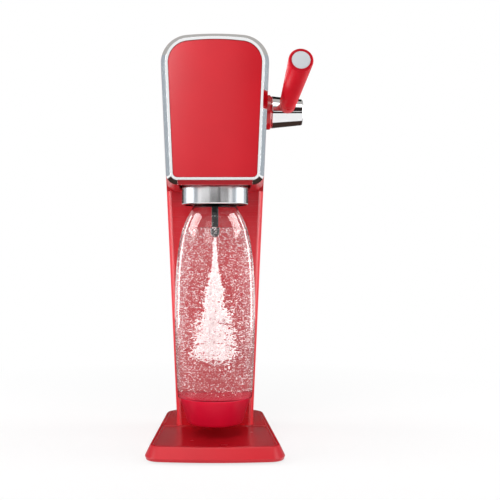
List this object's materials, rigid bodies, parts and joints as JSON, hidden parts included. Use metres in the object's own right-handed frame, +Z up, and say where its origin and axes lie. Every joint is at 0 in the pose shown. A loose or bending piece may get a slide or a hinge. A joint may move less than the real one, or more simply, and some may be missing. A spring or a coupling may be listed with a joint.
{
  "type": "soda carbonator",
  "caption": "Upright countertop soda carbonator with a side lever, tilting bottle holder, clear bottle with foot cup, drip tray and a rear-loaded gas cylinder.",
  "frame": {"origin": "on the floor under the bottle's axis, in the machine's middle plane", "axes": "+Z up, -Y to the front, +X to the lever's side"},
  "size_m": [0.1656, 0.2724, 0.4372],
  "materials": {
    "red_plastic": "satin gloss",
    "bright_chrome": "bright",
    "polished_steel": "polished",
    "dark_plastic": "satin",
    "grey_plastic": "satin",
    "pale_plastic": "satin",
    "clear_bottle": "clear",
    "soft_rubber": "matt",
    "cylinder_metal": "satin",
    "pink_plastic": "gloss",
    "valve_brass": "machined",
    "bracket_metal": "zinc grey"
  },
  "bodies": {
    "root": {"base_housing": "red_plastic", "base_bottom_plate": "dark_plastic", "foot_ring": "soft_rubber", "base_screws": "polished_steel", "column_shell": "red_plastic", "trough_liner": "red_plastic", "head_shell": "red_plastic", "chrome_frame": "bright_chrome", "front_panel": "red_plastic", "trunnion_blocks": "dark_plastic", "co2_cylinder": "cylinder_metal", "cylinder_adaptor": "pink_plastic", "cylinder_cradle": "dark_plastic", "valve_bracket": "bracket_metal", "valve_body": "valve_brass", "inlet_seal": "soft_rubber", "relief_valve": "valve_brass", "gas_hose": "soft_rubber", "hose_nuts": "valve_brass", "latch_pin": "polished_steel", "lever_bush_outer": "grey_plastic", "lever_bush_inner": "grey_plastic", "lever_bracket": "bracket_metal", "lever_escutcheon": "red_plastic", "lever_return_spring": "polished_steel"},
    "tray": {"drip_tray": "red_plastic"},
    "cover": {"rear_cover": "red_plastic"},
    "button": {"cover_button": "red_plastic"},
    "holder": {"holder_collar": "polished_steel", "guide_sleeve": "dark_plastic", "holder_carriage": "dark_plastic", "trunnion_pins": "polished_steel", "bottle_gasket": "soft_rubber", "snap_jaws": "dark_plastic", "nozzle_tube": "dark_plastic", "nozzle_tip": "grey_plastic"},
    "bottle": {"bottle_shell": "clear_bottle", "bottle_foot": "red_plastic"},
    "latch": {"quick_connect_lever": "pink_plastic"},
    "lever": {"lever_shaft": "polished_steel", "shaft_clip": "polished_steel", "lever_hub": "bright_chrome", "lever_handle": "red_plastic", "handle_cap_ring": "bright_chrome", "handle_cap_disc": "pale_plastic", "lever_cam": "polished_steel"},
    "rod": {"push_rod": "polished_steel"}
  },
  "joints": [
    {"name": "lever_press", "type": "hinge", "parent": "root", "child": "lever", "pos_m": [0, -0.005, 0.3634], "axis": [1, 0, 0], "range_deg": [0, 35], "stiffness_Nm_per_rad": 0.5, "springref_deg": -22.92},
    {"name": "rod_push", "type": "slide", "parent": "root", "child": "rod", "axis": [0, 1, 0], "range_m": [0, 0.00302]},
    {"name": "holder_tilt", "type": "hinge", "parent": "root", "child": "holder", "pos_m": [0, 0, 0.299], "axis": [-1, 0, 0], "range_deg": [0, 15]},
    {"name": "bottle_release", "type": "slide", "parent": "holder", "child": "bottle", "axis": [0, 0, -1], "range_m": [0, 0.006]},
    {"name": "cover_pull", "type": "slide", "parent": "root", "child": "cover", "axis": [0, 1, 0], "range_m": [0, 0.06]},
    {"name": "button_press", "type": "slide", "parent": "cover", "child": "button", "axis": [0, -1, 0], "range_m": [0, 0.0025], "stiffness_N_per_m": 500, "springref_m": -0.002},
    {"name": "latch_lift", "type": "hinge", "parent": "root", "child": "latch", "pos_m": [0, 0.085, 0.4052], "axis": [1, 0, 0], "range_deg": [0, 60]},
    {"name": "tray_lift", "type": "slide", "parent": "root", "child": "tray", "axis": [0, 0, 1], "range_m": [0, 0.004]}
  ],
  "couplings": [
    {"joint": "rod_push", "follows": "lever_press", "m_per_rad": 0.0049111}
  ]
}
